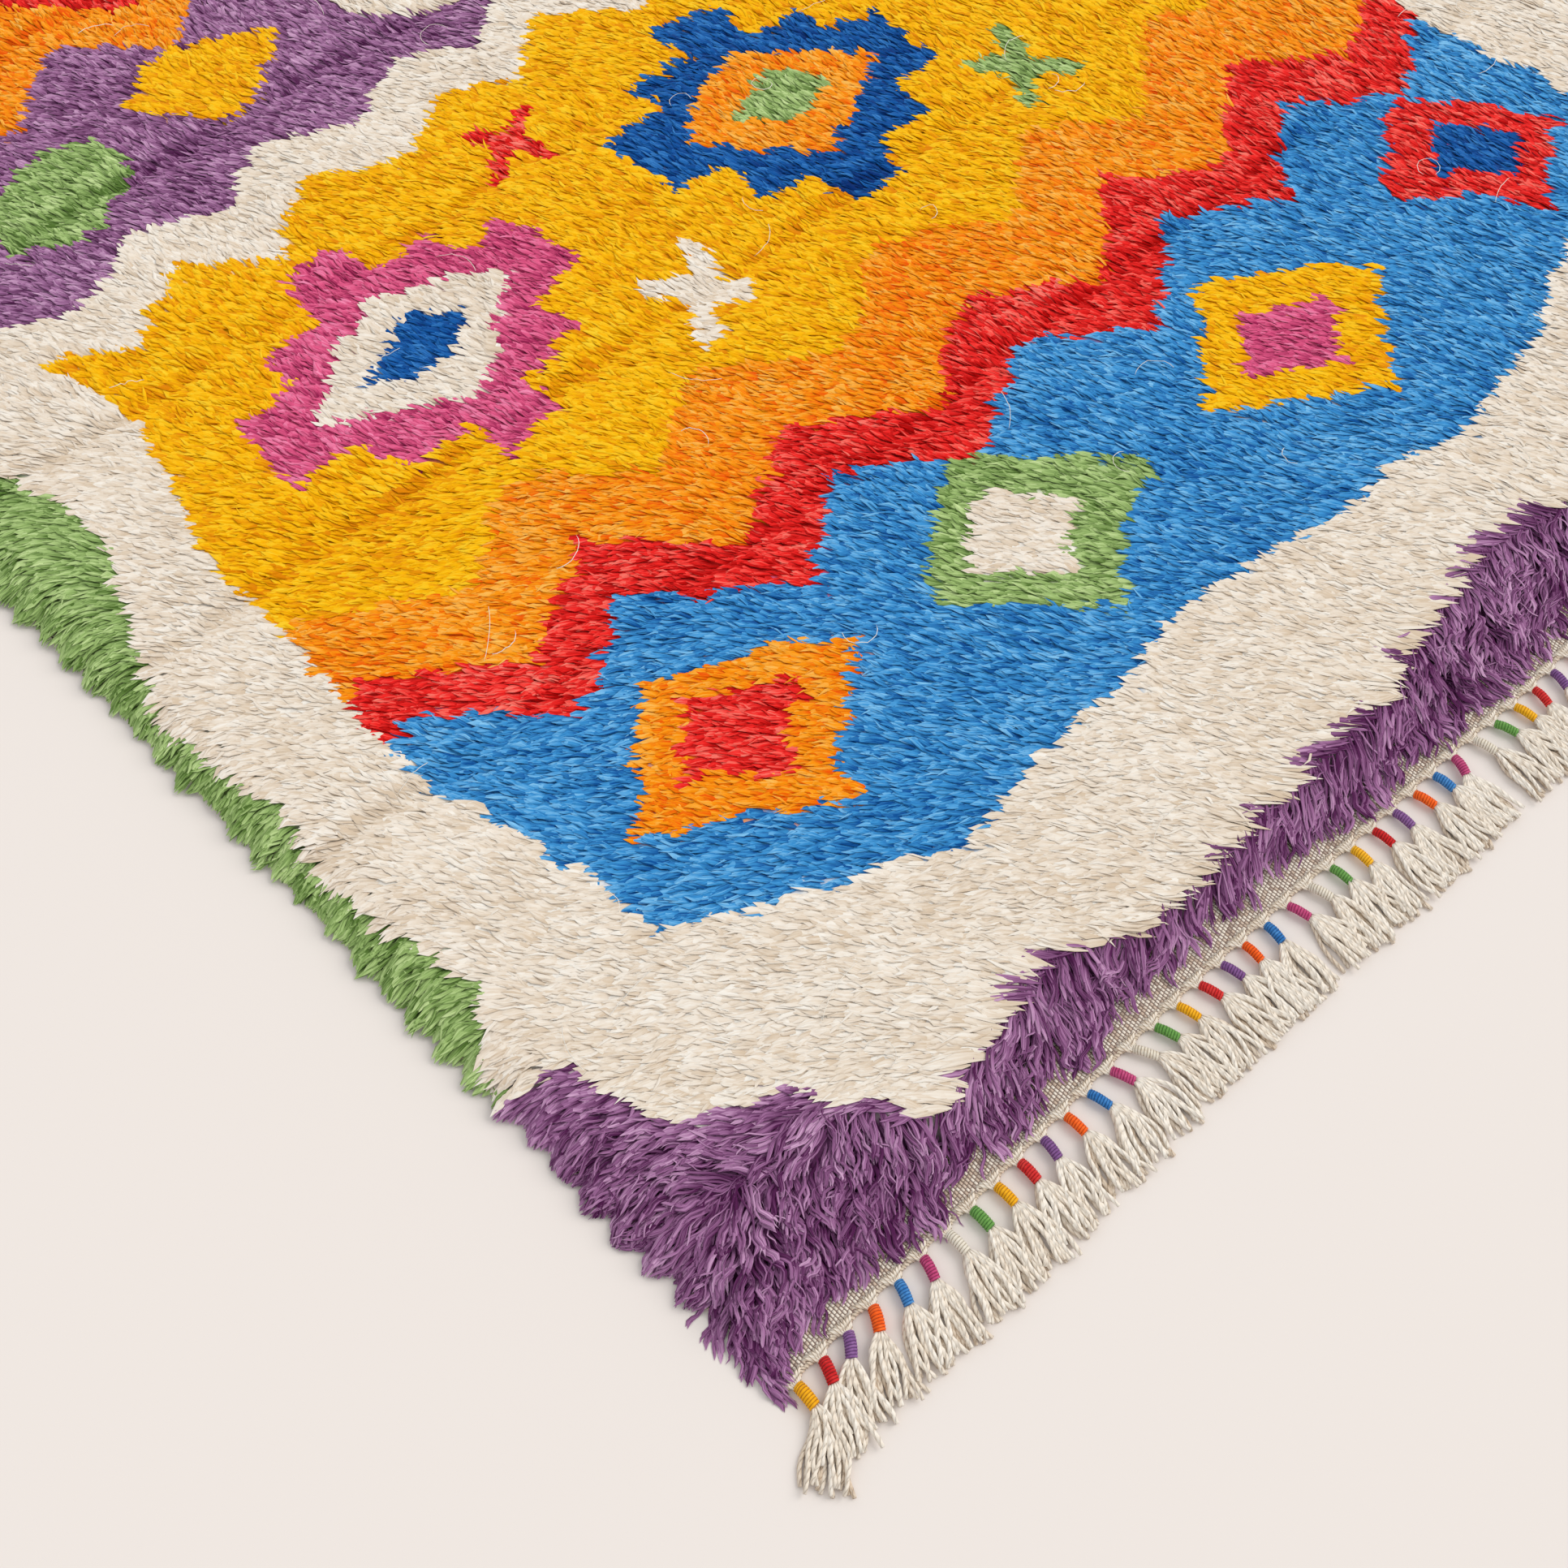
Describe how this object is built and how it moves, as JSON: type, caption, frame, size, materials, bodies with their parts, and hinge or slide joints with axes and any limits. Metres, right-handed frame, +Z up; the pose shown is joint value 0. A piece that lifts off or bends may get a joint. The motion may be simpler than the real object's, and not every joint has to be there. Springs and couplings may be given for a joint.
{
  "type": "moroccan shag rug",
  "caption": "Rectangular hand-knotted wool shag rug laid flat, with flat-woven ends and a fringe of thread-wrapped cords and cotton tassels along one short end.",
  "frame": {"origin": "middle of the rug's outline, tassels included, on the floor it lies on", "axes": "+X across the rug's width, +Y along its length away from the fringed end, +Z up out of the floor"},
  "size_m": [2, 3, 0.0326],
  "materials": {
    "wool_pile": "long-pile hand-spun wool, matte",
    "cotton_fringe": "plied cotton cords, matte"
  },
  "bodies": {
    "root": {"knotted_rug": "wool_pile", "fringe_1": "cotton_fringe", "fringe_2": "cotton_fringe", "fringe_3": "cotton_fringe", "fringe_4": "cotton_fringe", "fringe_5": "cotton_fringe", "fringe_6": "cotton_fringe", "fringe_7": "cotton_fringe", "fringe_8": "cotton_fringe"}
  },
  "joints": []
}
